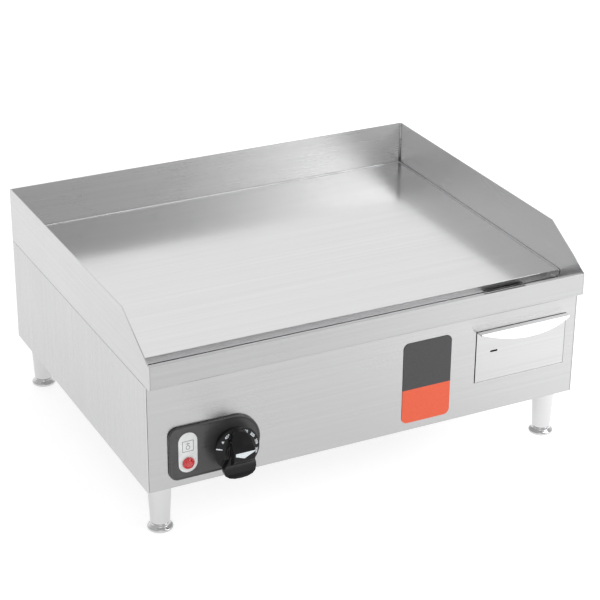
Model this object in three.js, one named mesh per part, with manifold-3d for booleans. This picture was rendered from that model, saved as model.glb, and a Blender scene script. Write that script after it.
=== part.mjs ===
// Countertop electric flat top griddle: a thick steel plate in a welded splash guard shell, over a
// sheet-metal cabinet with one thermostat, a pilot lamp, a grease drawer and four adjustable legs.
// Millimetres, +Z up, +X to the user's right, the user stands on the -Y side.

import * as THREE from 'three';
import { mergeVertices } from 'three/addons/utils/BufferGeometryUtils.js';
import Module from 'manifold-3d';

const wasm = await Module();
wasm.setup();

// ---------------------------------------------------------------- driving dimensions

const width = 610;
const depth = 476;
const bodyBottom = 69;
const seamHeight = 215;
const guardTop = 291;
const sheet = 1.5;
const thinSheet = 1.2;
const gap = 0.3;
const flangeWidth = 14;

const plateTop = 229;
const plateThickness = 9.5;
const plateFront = -194;

const rimTop = 246.2;
const rimFront = -250.5;
const rimFlange = 5;
const rimBend = 1.6;
const guardKnee = -170;

const troughFloor = 205.2;
const drain = { x0: 204, x1: 266, y0: -232, y1: -208 };

const knobX = -195;
const knobZ = 114;
const knobFront = -280;
const lampX = -253.5;
const lampZ = 101.8;

const drawerX0 = 153;
const drawerX1 = 288;
const drawerZ0 = 115;
const drawerZ1 = 188;
const drawerGap = { left: 1.4, right: 0.5, top: 0.4, bottom: 0.5 };

const legInsetX = 25.5;
const legFrontY = -211;
const legBackY = 214;

const glandX = -210;
const glandZ = 100;
const glandBack = 258;

// ---------------------------------------------------------------- values worked out from them

const halfWidth = width / 2;
const front = -depth / 2;
const back = depth / 2;
const innerX = halfWidth - sheet;
const betweenX = innerX - gap;
const plateBottom = plateTop - plateThickness;
const apronFoot = seamHeight + gap;
const drawerMid = (drawerX0 + drawerX1) / 2;
const legX = halfWidth - legInsetX;
const frameShift = -(knobFront + glandBack) / 2;

// ---------------------------------------------------------------- materials

function material(color, roughness, metalness) {
  return () => new THREE.MeshStandardMaterial({ color, roughness, metalness });
}

const brushedSteel = material(0xc9cacc, 0.35, 1);
const plateSteel = material(0xd2d3d4, 0.3, 1);
const polishedSteel = material(0xe2e3e5, 0.12, 1);
const drawerSteel = material(0xcfd0d2, 0.35, 1);
const blackPlastic = material(0x2b2b2d, 0.5, 0);
const knobPlastic = material(0x151516, 0.3, 0);
const greyPlastic = material(0xd9dadb, 0.5, 0);
const redLens = material(0xc41e24, 0.15, 0);
const silverFoil = material(0xd8dee2, 0.3, 0.8);
const elementSheath = material(0x5a5552, 0.5, 1);
const mineralWool = material(0xe4dfcf, 1, 0);
const phenolic = material(0x3a302a, 0.6, 0);
const wireSleeve = material(0xd8d2c4, 0.7, 0);
const copper = material(0xb87333, 0.35, 1);
const zinc = material(0xb9bcbf, 0.4, 1);
const label = material(0xd8462a, 0.4, 0);

// ---------------------------------------------------------------- solids

// Welded positions only, with every triangle facing out.
function solid(geometry) {
  const bare = geometry.index ? geometry.toNonIndexed() : geometry.clone();
  bare.deleteAttribute('normal');
  bare.deleteAttribute('uv');
  const merged = mergeVertices(bare, 1e-4);
  const p = merged.attributes.position;
  const index = Array.from(merged.index.array);
  const faces = [];
  let volume = 0;
  const a = new THREE.Vector3();
  const b = new THREE.Vector3();
  const c = new THREE.Vector3();
  for (let i = 0; i < index.length; i += 3) {
    const [i0, i1, i2] = index.slice(i, i + 3);
    if (i0 === i1 || i1 === i2 || i2 === i0) continue;
    faces.push(i0, i1, i2);
    a.fromBufferAttribute(p, i0);
    b.fromBufferAttribute(p, i1);
    c.fromBufferAttribute(p, i2);
    volume += a.dot(b.cross(c)) / 6;
  }
  if (volume < 0) faces.reverse();
  merged.setIndex(faces);
  return merged;
}

function toManifold(geometry) {
  const merged = solid(geometry);
  const vertProperties = Float32Array.from(merged.attributes.position.array);
  const triVerts = Uint32Array.from(merged.index.array);
  return new wasm.Manifold(new wasm.Mesh({ numProp: 3, vertProperties, triVerts }));
}

function fromManifold(shape) {
  const mesh = shape.getMesh();
  const geometry = new THREE.BufferGeometry();
  const positions = new THREE.BufferAttribute(Float32Array.from(mesh.vertProperties), 3);
  geometry.setAttribute('position', positions);
  geometry.setIndex(Array.from(mesh.triVerts));
  return geometry;
}

function join(...geometries) {
  return fromManifold(geometries.map(toManifold).reduce((whole, piece) => whole.add(piece)));
}

function cut(geometry, ...tools) {
  return fromManifold(tools.reduce((rest, tool) => rest.subtract(toManifold(tool)), toManifold(geometry)));
}

function block(x0, x1, y0, y1, z0, z1) {
  const box = new THREE.BoxGeometry(x1 - x0, y1 - y0, z1 - z0);
  return box.translate((x0 + x1) / 2, (y0 + y1) / 2, (z0 + z1) / 2);
}

function asShape(points) {
  return new THREE.Shape(points.map(([u, v]) => new THREE.Vector2(u, v)));
}

function extrude(shape, length, axes) {
  const flat = shape instanceof THREE.Shape ? shape : asShape(shape);
  const options = { depth: length, bevelEnabled: false, curveSegments: 4 };
  const matrix = new THREE.Matrix4().makeBasis(...axes);
  return new THREE.ExtrudeGeometry(flat, options).applyMatrix4(matrix);
}

const axisX = new THREE.Vector3(1, 0, 0);
const axisY = new THREE.Vector3(0, 1, 0);
const axisZ = new THREE.Vector3(0, 0, 1);

// Outline in (y, z), drawn along X from x0 to x1.
function alongX(outline, x0, x1) {
  return extrude(outline, x1 - x0, [axisY, axisZ, axisX]).translate(x0, 0, 0);
}

// Outline in (x, z), drawn along Y from y0 to y1.
function alongY(outline, y0, y1) {
  return extrude(outline, y1 - y0, [axisX, axisZ, axisY.clone().negate()]).translate(0, y1, 0);
}

// Outline in (x, y), drawn along Z from z0 to z1.
function alongZ(outline, z0, z1) {
  return extrude(outline, z1 - z0, [axisX, axisY, axisZ]).translate(0, 0, z0);
}

// A bent sheet: the path is one face of it, the other lies on the path's left.
function bentSheet(path, thickness) {
  const other = path.map(([u, v], i) => {
    const directions = [];
    if (i > 0) directions.push([u - path[i - 1][0], v - path[i - 1][1]]);
    if (i < path.length - 1) directions.push([path[i + 1][0] - u, path[i + 1][1] - v]);
    const normals = directions.map(([du, dv]) => [-dv / Math.hypot(du, dv), du / Math.hypot(du, dv)]);
    const [nu, nv] = normals[0];
    const [mu, mv] = normals[normals.length - 1];
    const scale = thickness / (1 + nu * mu + nv * mv);
    return [u + (nu + mu) * scale, v + (nv + mv) * scale];
  });
  return [...path, ...other.reverse()];
}

function roundedRect(x0, x1, z0, z1, radius) {
  const shape = new THREE.Shape();
  shape.moveTo(x0 + radius, z0);
  shape.lineTo(x1 - radius, z0);
  shape.absarc(x1 - radius, z0 + radius, radius, -Math.PI / 2, 0);
  shape.lineTo(x1, z1 - radius);
  shape.absarc(x1 - radius, z1 - radius, radius, 0, Math.PI / 2);
  shape.lineTo(x0 + radius, z1);
  shape.absarc(x0 + radius, z1 - radius, radius, Math.PI / 2, Math.PI);
  shape.lineTo(x0, z0 + radius);
  shape.absarc(x0 + radius, z0 + radius, radius, Math.PI, Math.PI * 1.5);
  return shape;
}

// A profile of [radius, height] turned about the Z axis.
function turned(profile, segments = 24) {
  const points = profile.map(([r, h]) => new THREE.Vector2(r, h));
  return new THREE.LatheGeometry(points, segments).rotateX(Math.PI / 2);
}

// The same about a line along -Y, so that height grows towards the user.
function turnedForward(profile, x, z, segments = 24) {
  return turned(profile, segments).rotateX(Math.PI / 2).translate(x, 0, z);
}

function rod(radius, z0, z1, x, y, segments = 16) {
  return turned([[0, z0], [radius, z0], [radius, z1], [0, z1]], segments).translate(x, y, 0);
}

// A round bar along Y, from y0 to y1.
function pin(radius, y0, y1, x, z, segments = 24) {
  return turnedForward([[0, -y1], [radius, -y1], [radius, -y0], [0, -y0]], x, z, segments);
}

function circleShape(radius, sides) {
  const points = [];
  for (let i = 0; i < sides; i += 1) {
    const angle = (i / sides) * Math.PI * 2;
    points.push([radius * Math.cos(angle), radius * Math.sin(angle)]);
  }
  return asShape(points);
}

// A round wire or rod through the corners of a route, each corner rounded off.
function tube(corners, radius, bend, steps, sides = 6) {
  const points = corners.map((corner) => new THREE.Vector3(...corner));
  const path = new THREE.CurvePath();
  let start = points[0];
  for (let i = 1; i < points.length - 1; i += 1) {
    const before = points[i].clone().add(points[i - 1].clone().sub(points[i]).setLength(bend));
    const after = points[i].clone().add(points[i + 1].clone().sub(points[i]).setLength(bend));
    path.add(new THREE.LineCurve3(start, before));
    path.add(new THREE.QuadraticBezierCurve3(before, points[i], after));
    start = after;
  }
  path.add(new THREE.LineCurve3(start, points[points.length - 1]));
  const options = { steps, extrudePath: path, bevelEnabled: false };
  return new THREE.ExtrudeGeometry(circleShape(radius, sides), options);
}

// ---------------------------------------------------------------- scene graph

const griddle = new THREE.Group();
griddle.position.y = frameShift;

function add(name, geometry, makeMaterial) {
  const mesh = new THREE.Mesh(solid(geometry), makeMaterial());
  mesh.name = name;
  griddle.add(mesh);
}

// ---------------------------------------------------------------- welded top shell

// Outer face of the front apron in (y, z), from the rim down and round its lower bend.
function apronFace() {
  const points = [[rimFront, rimTop]];
  const bendSteps = 4;
  for (let i = 0; i <= bendSteps; i += 1) {
    const angle = (Math.PI / 2 * i) / bendSteps;
    const y = rimFront + rimBend * (1 - Math.cos(angle));
    points.push([y, apronFoot + rimBend * (1 - Math.sin(angle))]);
  }
  return points;
}

function splashGuard(side) {
  const outline = [[back, apronFoot], [back, guardTop], [guardKnee, guardTop], ...apronFace()];
  const wall = alongX(outline, innerX, halfWidth);
  const flange = block(
    innerX - flangeWidth, innerX + 0.5, plateFront + 16, back - 20, apronFoot, plateBottom - gap,
  );
  const guard = join(wall, flange);
  return side < 0 ? guard.scale(-1, 1, 1) : guard;
}

function backsplash() {
  const path = [[back, guardTop], [back, apronFoot], [back - 15, apronFoot]];
  const outline = bentSheet(path.reverse(), sheet - 0.1);
  return alongX(outline, -betweenX, betweenX);
}

function frontApron() {
  const path = [[rimFront + rimFlange, rimTop], ...apronFace(), [front + 2.4, apronFoot]];
  const apron = alongX(bentSheet(path, sheet), -betweenX, betweenX);
  const slot = block(154, 215, rimFront + 0.8, rimFront + 4.2, rimTop - 3, rimTop + 1);
  return cut(apron, slot);
}

// Open channel between the plate and the rim; its back edge hooks under the plate.
function greaseTrough() {
  const wallY = plateFront + 2;
  const under = plateBottom - gap;
  const lipY = rimFront + rimFlange - 0.5;
  const path = [
    [wallY + 12, under], [wallY, under], [wallY, troughFloor], [front + 4.2, troughFloor],
    [front + 4.2, troughFloor + 13.6], [lipY, troughFloor + 16.8], [lipY, rimTop - sheet - gap],
  ];
  const trough = alongX(bentSheet(path, thinSheet), -betweenX, betweenX);
  const hole = roundedRect(drain.x0, drain.x1, drain.y0, drain.y1, 5);
  return cut(trough, alongZ(hole, troughFloor - 5, troughFloor + 5));
}

function drainChute() {
  const top = troughFloor - thinSheet - gap;
  const foot = 183;
  const outer = roundedRect(drain.x0 - 1.6, drain.x1 + 1.6, drain.y0 - 1.6, drain.y1 + 1.6, 6);
  const inner = roundedRect(drain.x0, drain.x1, drain.y0, drain.y1, 5);
  return cut(alongZ(outer, foot, top), alongZ(inner, foot - 5, top + 5));
}

// ---------------------------------------------------------------- griddle plate and heat

const clampY = [-110, 30, 170];
const studX = [-95, 95];
const studFoot = 200.2;
const elementX = [-190, 0, 190];
const elementRadius = 4;
const elementZ = plateBottom - gap - elementRadius;
const elementFront = -172;
const runSpacing = 44;

function griddlePlate() {
  const x = innerX - 0.5;
  const y1 = back - sheet - 0.5;
  const nose = 0.4;
  const outline = [
    [plateFront, plateBottom], [y1, plateBottom], [y1, plateTop],
    [plateFront + nose, plateTop], [plateFront, plateTop - nose],
  ];
  const pieces = [alongX(outline, -x, x)];
  for (const studY of clampY) {
    for (const sx of studX) pieces.push(rod(3, studFoot, plateBottom + 1, sx, studY, 12));
  }
  return join(...pieces);
}

// One sheathed element: four runs front to back, joined by hairpins, both ends at the front.
function heatingElement(centreX) {
  const radius = runSpacing / 2;
  const farY = 183;
  const nearY = -118;
  const path = new THREE.CurvePath();
  const at = (x, y) => new THREE.Vector3(centreX + x, y, elementZ);
  const hairpin = (x, y, direction) => {
    const reach = direction * radius * 4 / 3;
    path.add(new THREE.CubicBezierCurve3(
      at(x, y), at(x, y + reach), at(x + runSpacing, y + reach), at(x + runSpacing, y),
    ));
  };
  path.add(new THREE.LineCurve3(at(-3 * radius, elementFront), at(-3 * radius, farY)));
  hairpin(-3 * radius, farY, 1);
  path.add(new THREE.LineCurve3(at(-radius, farY), at(-radius, nearY)));
  hairpin(-radius, nearY, -1);
  path.add(new THREE.LineCurve3(at(radius, nearY), at(radius, farY)));
  hairpin(radius, farY, 1);
  path.add(new THREE.LineCurve3(at(3 * radius, farY), at(3 * radius, elementFront)));
  const options = { steps: 66, extrudePath: path, bevelEnabled: false };
  return new THREE.ExtrudeGeometry(circleShape(elementRadius, 6), options);
}

// A flat bar under the elements with two weld nuts, pulled up by the plate's studs.
function elementClamp(y) {
  const top = elementZ - elementRadius - gap;
  const barFoot = top - 3.2;
  const pieces = [block(-275, 275, y - 10, y + 10, barFoot, top)];
  for (const x of studX) pieces.push(rod(6, barFoot - 4, barFoot + 1, x, y, 6));
  return cut(join(...pieces), ...studX.map((x) => rod(3.3, barFoot - 9, top + 5, x, y, 12)));
}

const trayFloor = 186.4;

function insulationTray() {
  const wallX = 284;
  const edgeX = innerX - 0.5;
  const edgeZ = 211.9;
  const path = [
    [-edgeX, edgeZ], [-wallX, edgeZ], [-wallX, trayFloor],
    [wallX, trayFloor], [wallX, edgeZ], [edgeX, edgeZ],
  ];
  return alongY(bentSheet(path, thinSheet), -162, 227);
}

function thermostatBulb() {
  return pin(4, 0, 120, runSpacing, elementZ, 12);
}

function capillaryTube() {
  const dropY = -186.5;
  const route = [
    [runSpacing, -gap, elementZ], [runSpacing, dropY, elementZ], [runSpacing, dropY, 160],
    [-150, dropY, 160], [-180, dropY, 148], [-180, -212, 148], [-180, -212, thermostat.z1 + gap],
  ];
  return tube(route, 1.2, 6, 40);
}

// ---------------------------------------------------------------- cabinet

function sidePanel(side) {
  const top = seamHeight - gap;
  const flangeFront = -176;
  const wall = block(innerX, halfWidth, front, back, bodyBottom, top);
  const flange = block(
    innerX - flangeWidth, innerX + 0.5, flangeFront, back - sheet - gap, top - sheet, top,
  );
  const panel = join(wall, flange);
  return side < 0 ? panel.scale(-1, 1, 1) : panel;
}

const bezelHoleRadius = 7;

function frontPanel() {
  const plate = block(-betweenX, betweenX, front, front + sheet, bodyBottom, seamHeight - gap);
  const opening = block(
    drawerX0 - drawerGap.left, drawerX1 + drawerGap.right, front - 5, front + 5,
    drawerZ0 - drawerGap.bottom, drawerZ1 + drawerGap.top,
  );
  const knobHole = pin(bezelHoleRadius, front - 5, front + 5, knobX, knobZ);
  const lampHole = pin(bezelHoleRadius, front - 5, front + 5, lampX, lampZ);
  return cut(plate, opening, knobHole, lampHole);
}

function backPanel() {
  const plate = block(-betweenX, betweenX, back - sheet, back, bodyBottom, seamHeight - gap);
  const tools = [pin(10.3, back - 5, back + 5, glandX, glandZ)];
  for (const z of [170, 182, 194]) {
    for (let i = -3; i <= 3; i += 1) {
      tools.push(block(i * 70 - 24, i * 70 + 24, back - 5, back + 5, z - 1.8, z + 1.8));
    }
  }
  return cut(plate, ...tools);
}

function bottomPanel() {
  const plate = block(
    -betweenX, betweenX, front + sheet + gap, back - sheet - gap, bodyBottom, bodyBottom + sheet,
  );
  const tools = legPlaces.map(({ x, y }) => rod(4.4, bodyBottom - 5, bodyBottom + 5, x, y));
  for (let i = -3; i <= 3; i += 1) {
    tools.push(block(i * 40 - 1.8, i * 40 + 1.8, -10, 90, bodyBottom - 5, bodyBottom + 5));
  }
  return cut(plate, ...tools);
}

// ---------------------------------------------------------------- legs and feet

const legPlaces = [
  { name: 'front_left', x: -legX, y: legFrontY },
  { name: 'front_right', x: legX, y: legFrontY },
  { name: 'back_left', x: -legX, y: legBackY },
  { name: 'back_right', x: legX, y: legBackY },
];
const legFoot = 10;
const stemRadius = 4.8;

// Tapered tube leg with a blind bore for the foot's stem and a stud through the cabinet floor.
function leg({ x, y }) {
  const top = bodyBottom - gap;
  const profile = [
    [5.2, legFoot], [11.8, legFoot], [12.3, legFoot + 1], [15.6, top - 2], [15.6, top], [4, top],
    [4, 86], [0, 86], [0, 46], [5.2, 46], [5.2, legFoot],
  ];
  return turned(profile).translate(x, y, 0);
}

function foot({ x, y }) {
  const profile = [
    [0, 0], [15.7, 0], [16.5, 0.8], [16.5, 4.2], [15.6, 5], [12.1, 6], [11.6, legFoot - gap],
    [stemRadius, legFoot - gap], [stemRadius, 40], [0, 40],
  ];
  return turned(profile).translate(x, y, 0);
}

function legNut({ x, y }) {
  const z0 = bodyBottom + sheet + gap;
  const profile = [[4.9, z0], [8, z0], [8, z0 + 6.5], [4.9, z0 + 6.5], [4.9, z0]];
  return turned(profile, 6).translate(x, y, 0);
}

// ---------------------------------------------------------------- controls

const bezelFront = front - 4.3;
const insetDepth = 1.2;
const bezel = { x0: -277.5, x1: -156.5, z0: 79.6, z1: 151.4, corner: 11.5 };
const pill = { x0: -266, x1: -241, z0: 88.6, z1: 143.2, corner: 12.4 };

function controlBezel() {
  const round = (bezel.z1 - bezel.z0) / 2;
  const midZ = (bezel.z0 + bezel.z1) / 2;
  const shape = new THREE.Shape();
  shape.moveTo(bezel.x0 + bezel.corner, bezel.z0);
  shape.lineTo(bezel.x1 - round, bezel.z0);
  shape.absarc(bezel.x1 - round, midZ, round, -Math.PI / 2, 0);
  shape.absarc(bezel.x1 - round, midZ, round, 0, Math.PI / 2);
  shape.lineTo(bezel.x0 + bezel.corner, bezel.z1);
  shape.absarc(bezel.x0 + bezel.corner, bezel.z1 - bezel.corner, bezel.corner, Math.PI / 2, Math.PI);
  shape.lineTo(bezel.x0, bezel.z0 + bezel.corner);
  shape.absarc(bezel.x0 + bezel.corner, bezel.z0 + bezel.corner, bezel.corner, Math.PI, Math.PI * 1.5);
  const pocket = roundedRect(pill.x0 - gap, pill.x1 + gap, pill.z0 - gap, pill.z1 + gap, pill.corner + gap);
  return cut(
    alongY(shape, bezelFront, front - gap),
    alongY(pocket, bezelFront - 5, bezelFront + insetDepth),
    pin(bezelHoleRadius, bezelFront - 5, front + 5, knobX, knobZ),
    pin(bezelHoleRadius, bezelFront - 5, front + 5, lampX, lampZ),
  );
}

function indicatorPlate() {
  const shape = roundedRect(pill.x0, pill.x1, pill.z0, pill.z1, pill.corner);
  const plate = alongY(shape, bezelFront - 0.2, bezelFront + insetDepth - gap);
  return cut(plate, pin(bezelHoleRadius, bezelFront - 5, bezelFront + 5, lampX, lampZ));
}

function pilotLampLens() {
  const base = -bezelFront + 0.5;
  const profile = [
    [0, base], [7.8, base], [7.8, base + 1.2], [7, base + 2.2],
    [5.2, base + 3.3], [2.8, base + 4], [0, base + 4.2],
  ];
  return turnedForward(profile, lampX, lampZ);
}

const thermostat = { halfX: 27, y0: -232, y1: -192, z0: 90, z1: 138 };
const shaftRadius = 3;
const shaftFront = -266;
const shaftBack = -206;

function thermostatBody() {
  const { halfX, y0, y1, z0, z1 } = thermostat;
  const bush = pin(5.6, front - 3.5, y0 + 2, knobX, knobZ);
  const body = join(block(knobX - halfX, knobX + halfX, y0, y1, z0, z1), bush);
  return cut(body, pin(shaftRadius + 0.08, front - 9, shaftBack + 1, knobX, knobZ));
}

// Numbered skirt, hub, an arched wedge grip that faces the user and a wide paddle below it.
function controlKnob() {
  const skirtProfile = [
    [0, 243.5], [23.5, 243.5], [25, 247.5], [29.8, 256.4], [30.2, 257.6],
    [29.6, 258.4], [20.5, 260.6], [18.2, 262], [17.6, 265.5], [0, 265.5],
  ];
  const skirt = turnedForward(skirtProfile, knobX, knobZ, 40);
  const gripSide = [
    [-255, -17], [-255, 28.4], [-264.5, 28.4], [-277, 11.5],
    [knobFront, 8.5], [knobFront, -5], [-272, -12], [-262, -17],
  ];
  const crown = 14.4;
  const corners = cut(
    block(-16, 16, knobFront - 5, -250, crown, crown + 20),
    pin(14, knobFront - 6, -249, 0, crown),
  );
  const grip = cut(alongX(gripSide, -14, 14), corners).translate(knobX, 0, knobZ);
  const paddleShape = new THREE.Shape();
  paddleShape.moveTo(14, 0);
  paddleShape.quadraticCurveTo(17, -12, 21, -22);
  paddleShape.quadraticCurveTo(20, -34, 0, -35);
  paddleShape.quadraticCurveTo(-20, -34, -21, -22);
  paddleShape.quadraticCurveTo(-17, -12, -14, 0);
  const paddle = alongY(paddleShape, -269, -259).translate(knobX, 0, knobZ);
  const bore = pin(shaftRadius + 0.08, shaftFront - gap, front, knobX, knobZ);
  const inset = alongY(pointerOutline(0.3), knobFront - 5, knobFront + 0.8).translate(knobX, 0, knobZ);
  return cut(join(skirt, grip, paddle), bore, inset);
}

// Five-sided pointer that ends in a point towards the paddle.
function pointerOutline(margin) {
  const left = -12 - margin;
  const right = 13 + margin;
  const top = 7 + margin;
  return [[left, top], [left, 3], [-0.7, -1 - margin], [right, 5.4], [right, top]];
}

function knobPointer() {
  return alongY(pointerOutline(0), knobFront, knobFront + 0.5).translate(knobX, 0, knobZ);
}

// ---------------------------------------------------------------- grease drawer

const pan = { halfX: 63.5, z0: 116.3, z1: 181.5, y0: front + 1.9, y1: 95 };

// Flush front with a folded ledge on top and a crescent finger lip sloping down from it.
function drawerFront() {
  const ledgeFront = -249.2;
  const lipReach = 15.5;
  const lipSlope = 36;
  const thickness = 1.4;
  const y1 = front + thickness;
  const face = block(drawerX0, drawerX1, front, y1, drawerZ0, drawerZ1);
  const ledge = block(drawerX0, drawerX1, ledgeFront, y1, drawerZ1 - thickness, drawerZ1);
  const half = (drawerX1 - drawerX0) / 2 - 0.5;
  const arcRadius = (half * half + lipReach * lipReach) / (2 * lipReach);
  const arcAngle = Math.asin(half / arcRadius);
  const crescent = [[half, 1], [-half, 1]];
  const arcSteps = 16;
  for (let i = 0; i <= arcSteps; i += 1) {
    const angle = -arcAngle + (2 * arcAngle * i) / arcSteps;
    crescent.push([arcRadius * Math.sin(angle), arcRadius - lipReach - arcRadius * Math.cos(angle)]);
  }
  const lip = alongZ(crescent, -thickness, 0);
  lip.rotateX(THREE.MathUtils.degToRad(lipSlope)).translate(drawerMid, ledgeFront + 0.2, drawerZ1 - 0.02);
  return cut(join(face, ledge, lip), alongY(sightSlot(0), front - 2, y1 + 2));
}

// Small sight slot through the drawer's face, with a slightly larger one behind it in the pan.
function sightSlot(margin) {
  return roundedRect(174 - margin, 185 + margin, 154.8 - margin, 157.4 + margin, 1.2);
}

function drawerPan() {
  const { halfX, z0, z1, y0, y1 } = pan;
  const outer = block(drawerMid - halfX, drawerMid + halfX, y0, y1, z0, z1);
  const t = thinSheet;
  const inner = block(drawerMid - halfX + t, drawerMid + halfX - t, y0 + t, y1 - t, z0 + t, z1 + 5);
  return cut(outer, inner, alongY(sightSlot(1.5), y0 - 2, y0 + 4));
}

// C channel that carries the pan's lower edge and stops it tipping when it is pulled out.
function drawerRunner(side) {
  const web = 66;
  const lip = 55.5;
  const path = [[lip, 115.8], [web, 115.8], [web, 182], [lip, 182]];
  const channel = alongY(bentSheet(path.reverse(), thinSheet), front + 2.2, 100);
  if (side < 0) channel.scale(-1, 1, 1);
  return channel.translate(drawerMid, 0, 0);
}

// Upright that carries the back ends of both runners.
function runnerBracket() {
  const floor = bodyBottom + sheet + gap;
  const path = [[130, floor], [101, floor], [101, 185]];
  return alongX(bentSheet(path.reverse(), thinSheet), drawerMid - 72, drawerMid + 72);
}

// ---------------------------------------------------------------- wiring

const leadRadius = 1.8;
const liveBus = { y: -176, z: 204, offset: -1.5 * runSpacing };
const neutralBus = { y: -181, z: 198, offset: 1.5 * runSpacing };

// A lead across the cabinet with a branch up to one end of each element.
function busLead({ y, z, offset }) {
  const ends = elementX.map((x) => x + offset);
  const pieces = [tube([[ends[0] - 3, y, z], [ends[2] + 3, y, z]], leadRadius, 1, 1)];
  for (const x of ends) {
    const riser = [[x, y, z], [x, y, elementZ], [x, elementFront - gap, elementZ]];
    pieces.push(tube(riser, leadRadius, 3, 8));
  }
  return join(...pieces);
}

const terminal = { y: 206, top: 97, x: [-165, -145, -125] };

function terminalBlock() {
  const floor = bodyBottom + sheet + gap;
  const posts = terminal.x.map((x) => rod(3, 90, terminal.top, x, terminal.y, 8));
  return join(block(-178, -112, 195, 217, floor, 92), ...posts);
}

function thermostatSupplyLead() {
  const x = terminal.x[0];
  const laneX = -210;
  const laneZ = 80;
  const route = [
    [x, terminal.y, terminal.top + gap], [x, terminal.y, 104], [x, 150, 104], [laneX, 150, laneZ],
    [laneX, -185, laneZ], [laneX, -185, 100], [laneX, thermostat.y1 + gap, 100],
  ];
  return tube(route, leadRadius, 3, 30);
}

function heaterLead() {
  const x = -210;
  const route = [
    [x, -212, thermostat.z1 + gap], [x, -212, 165], [x, liveBus.y, 165],
    [x, liveBus.y, liveBus.z - leadRadius - gap],
  ];
  return tube(route, leadRadius, 4, 12);
}

function neutralSupplyLead() {
  const x = terminal.x[1];
  const laneX = -90;
  const laneZ = 80;
  const route = [
    [x, terminal.y, terminal.top + gap], [x, terminal.y, 110], [x, 160, 110], [laneX, 160, laneZ],
    [laneX, neutralBus.y, laneZ], [laneX, neutralBus.y, neutralBus.z - leadRadius - gap],
  ];
  return tube(route, leadRadius, 4, 30);
}

function cableGland() {
  const profile = [
    [5, -226], [9.9, -226], [9.9, -238.2], [14, -238.3], [14, -246], [11.5, -246.5], [11.5, -252],
    [8.5, -glandBack], [5, -glandBack], [5, -226],
  ];
  return turnedForward(profile, glandX, glandZ);
}

function glandLocknut() {
  const y = -(back - sheet - gap);
  const profile = [[10.6, y], [14, y], [14, y + 6], [10.6, y + 6], [10.6, y]];
  return turnedForward(profile, glandX, glandZ, 12);
}

// ---------------------------------------------------------------- assembly

add('griddle_plate', griddlePlate(), plateSteel);
add('backsplash', backsplash(), brushedSteel);
add('left_splash_guard', splashGuard(-1), brushedSteel);
add('right_splash_guard', splashGuard(1), brushedSteel);
add('front_apron', frontApron(), brushedSteel);
add('grease_trough', greaseTrough(), brushedSteel);
add('drain_chute', drainChute(), brushedSteel);

add('front_panel', frontPanel(), brushedSteel);
add('left_side_panel', sidePanel(-1), brushedSteel);
add('right_side_panel', sidePanel(1), brushedSteel);
add('back_panel', backPanel(), brushedSteel);
add('bottom_panel', bottomPanel(), brushedSteel);

for (const place of legPlaces) {
  add(`leg_${place.name}`, leg(place), polishedSteel);
  add(`foot_${place.name}`, foot(place), polishedSteel);
  add(`leg_nut_${place.name}`, legNut(place), zinc);
}

add('control_bezel', controlBezel(), blackPlastic);
add('indicator_plate', indicatorPlate(), greyPlastic);
add('pilot_lamp_lens', pilotLampLens(), redLens);
add('pilot_lamp_body', pin(6.5, bezelFront - 0.2, -212, lampX, lampZ), blackPlastic);
add('thermostat_body', thermostatBody(), phenolic);
add('thermostat_shaft', pin(shaftRadius, shaftFront, shaftBack, knobX, knobZ), zinc);
add('control_knob', controlKnob(), knobPlastic);
add('knob_pointer', knobPointer(), silverFoil);
add('label_plate', alongY(roundedRect(45, 115, 80, 194, 8), front - gap - 0.6, front - gap), label);

const elementNames = ['left', 'centre', 'right'];
elementX.forEach((x, i) => add(`heating_element_${elementNames[i]}`, heatingElement(x), elementSheath));
const clampNames = ['front', 'middle', 'rear'];
clampY.forEach((y, i) => add(`element_clamp_${clampNames[i]}`, elementClamp(y), zinc));
add('insulation_tray', insulationTray(), zinc);
add('insulation_blanket', block(-282, 282, -160, 225, trayFloor + thinSheet + gap, 199), mineralWool);
add('thermostat_bulb', thermostatBulb(), copper);
add('capillary_tube', capillaryTube(), copper);
add('high_limit_switch', rod(10, studFoot, plateBottom - gap, studX[0], -40, 20), phenolic);

add('drawer_front', drawerFront(), drawerSteel);
add('drawer_pan', drawerPan(), drawerSteel);
add('drawer_runner_left', drawerRunner(-1), zinc);
add('drawer_runner_right', drawerRunner(1), zinc);
add('drawer_runner_bracket', runnerBracket(), zinc);

add('terminal_block', terminalBlock(), phenolic);
add('live_bus_lead', busLead(liveBus), wireSleeve);
add('neutral_bus_lead', busLead(neutralBus), wireSleeve);
add('thermostat_supply_lead', thermostatSupplyLead(), wireSleeve);
add('heater_lead', heaterLead(), wireSleeve);
add('neutral_supply_lead', neutralSupplyLead(), wireSleeve);
add('cable_gland', cableGland(), blackPlastic);
add('gland_locknut', glandLocknut(), zinc);
add('earth_stud', rod(3, bodyBottom + sheet + gap, 92, -250, 190, 12), zinc);

export default griddle;
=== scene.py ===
"""Looks for a countertop electric flat top griddle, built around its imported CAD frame."""

import math

import bmesh
import bpy
from mathutils import Matrix, Vector


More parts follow.
